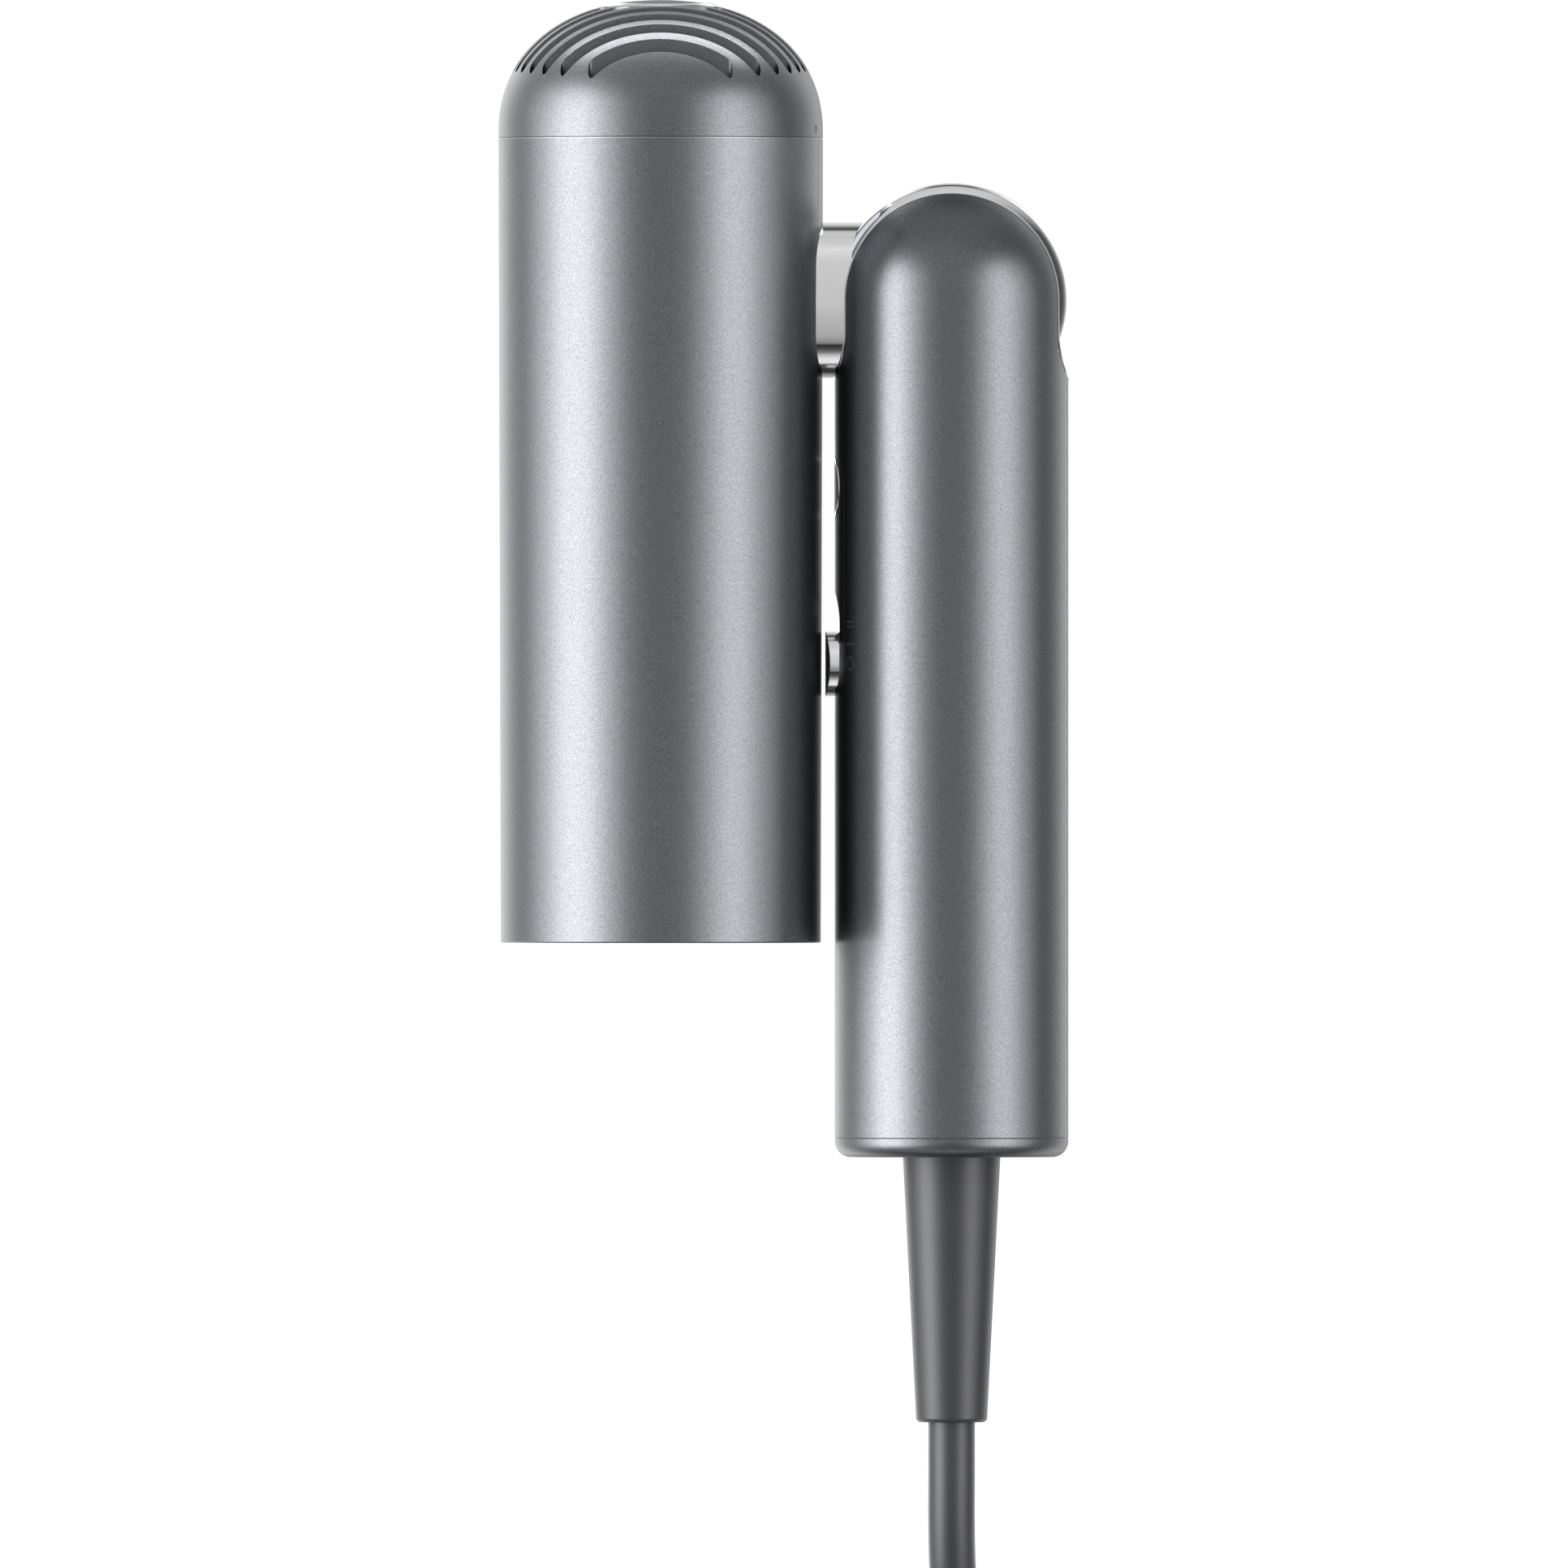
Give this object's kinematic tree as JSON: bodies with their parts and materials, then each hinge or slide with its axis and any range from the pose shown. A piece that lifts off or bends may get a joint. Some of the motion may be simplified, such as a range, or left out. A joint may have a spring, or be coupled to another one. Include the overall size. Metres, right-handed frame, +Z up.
{
  "type": "hair dryer",
  "caption": "Folding travel hair dryer with a cylindrical barrel beside a cylindrical handle on a bright hinge arm, slotted domed intake, slide switch, cool button and coiled mains lead.",
  "frame": {"origin": "on the table, under the middle of the folded dryer's box without its lead", "axes": "+Z up from the table it lies on, +Y along the barrel towards the air intake, +X from the barrel to the handle"},
  "size_m": [0.1214, 0.3786, 0.05],
  "materials": {
    "grey_metal": "fine satin grey metallic coat",
    "chrome": "polished",
    "steel": "plain",
    "aluminium": "machined",
    "dark_plastic": "matt dark grey",
    "mesh_grey": "fine dark mesh",
    "white_plastic": "plain off-white moulding",
    "rubber": "matt dark grey",
    "mica": "mica sheet",
    "board_green": "solder mask",
    "copper": "enamelled copper winding",
    "lens": "frosted light guide"
  },
  "bodies": {
    "handle": {"handle_shell": "grey_metal", "hinge_fork": "white_plastic", "hinge_pin": "steel", "friction_washer_lower": "steel", "friction_washer_upper": "steel", "control_panel": "grey_metal", "slide_switch": "steel", "button_bezel": "chrome", "button_contact": "dark_plastic", "control_board": "board_green", "main_board": "board_green", "power_heatsink": "aluminium", "ion_generator": "dark_plastic", "bulk_capacitor": "dark_plastic", "choke": "copper", "end_cap": "grey_metal", "strain_relief": "dark_plastic", "cord_clamp": "white_plastic", "clamp_screw_left": "steel", "clamp_screw_right": "steel", "cord_lead": "rubber", "cord_coil": "rubber", "coil_tie": "dark_plastic", "cord_tail": "rubber", "plug_body": "dark_plastic", "plug_pin_left": "steel", "plug_pin_right": "steel"},
    "barrel": {"barrel_shell": "grey_metal", "spine_cover": "grey_metal", "hinge_arm": "chrome", "inner_frame": "white_plastic", "motor_sleeve": "rubber", "motor_housing": "aluminium", "stator_core": "steel", "rear_bearing": "steel", "front_bearing": "steel", "motor_board": "board_green", "heater_sleeve": "mica", "heater_frame": "mica", "heater_coil": "steel", "thermostat": "steel", "thermal_fuse": "white_plastic", "outlet_grille": "dark_plastic", "light_ring": "lens", "nozzle_magnet_ring": "steel"},
    "filter_collar": {"filter_collar": "dark_plastic", "filter_mesh": "mesh_grey"},
    "intake_cap": {"intake_cap": "grey_metal", "cap_ring": "chrome", "cap_disc": "dark_plastic"},
    "rotor": {"impeller": "aluminium", "rotor_shaft": "steel", "rotor_magnet": "steel"},
    "speed_knob": {"speed_knob": "chrome"},
    "mode_button": {"mode_button": "chrome"}
  },
  "joints": [
    {"name": "fold", "type": "hinge", "parent": "handle", "child": "barrel", "pos_m": [0.0259, 0.0633, 0.025], "axis": [0, 0, -1], "range_deg": [0, 90]},
    {"name": "filter_twist", "type": "hinge", "parent": "barrel", "child": "filter_collar", "pos_m": [-0.0189, 0.0633, 0.025], "axis": [0, -1, 0], "range_deg": [0, 20]},
    {"name": "cap_pull", "type": "slide", "parent": "filter_collar", "child": "intake_cap", "axis": [0, 1, 0], "range_m": [0, 0.025]},
    {"name": "rotor_spin", "type": "hinge", "parent": "barrel", "child": "rotor", "pos_m": [-0.0189, 0.0633, 0.025], "axis": [0, -1, 0], "continuous": true},
    {"name": "speed_slide", "type": "slide", "parent": "handle", "child": "speed_knob", "axis": [0, 1, 0], "range_m": [0, 0.0061]},
    {"name": "mode_press", "type": "slide", "parent": "handle", "child": "mode_button", "axis": [1, 0, 0], "range_m": [0, 0.0008], "stiffness_N_per_m": 500, "springref_m": -0.0015}
  ]
}
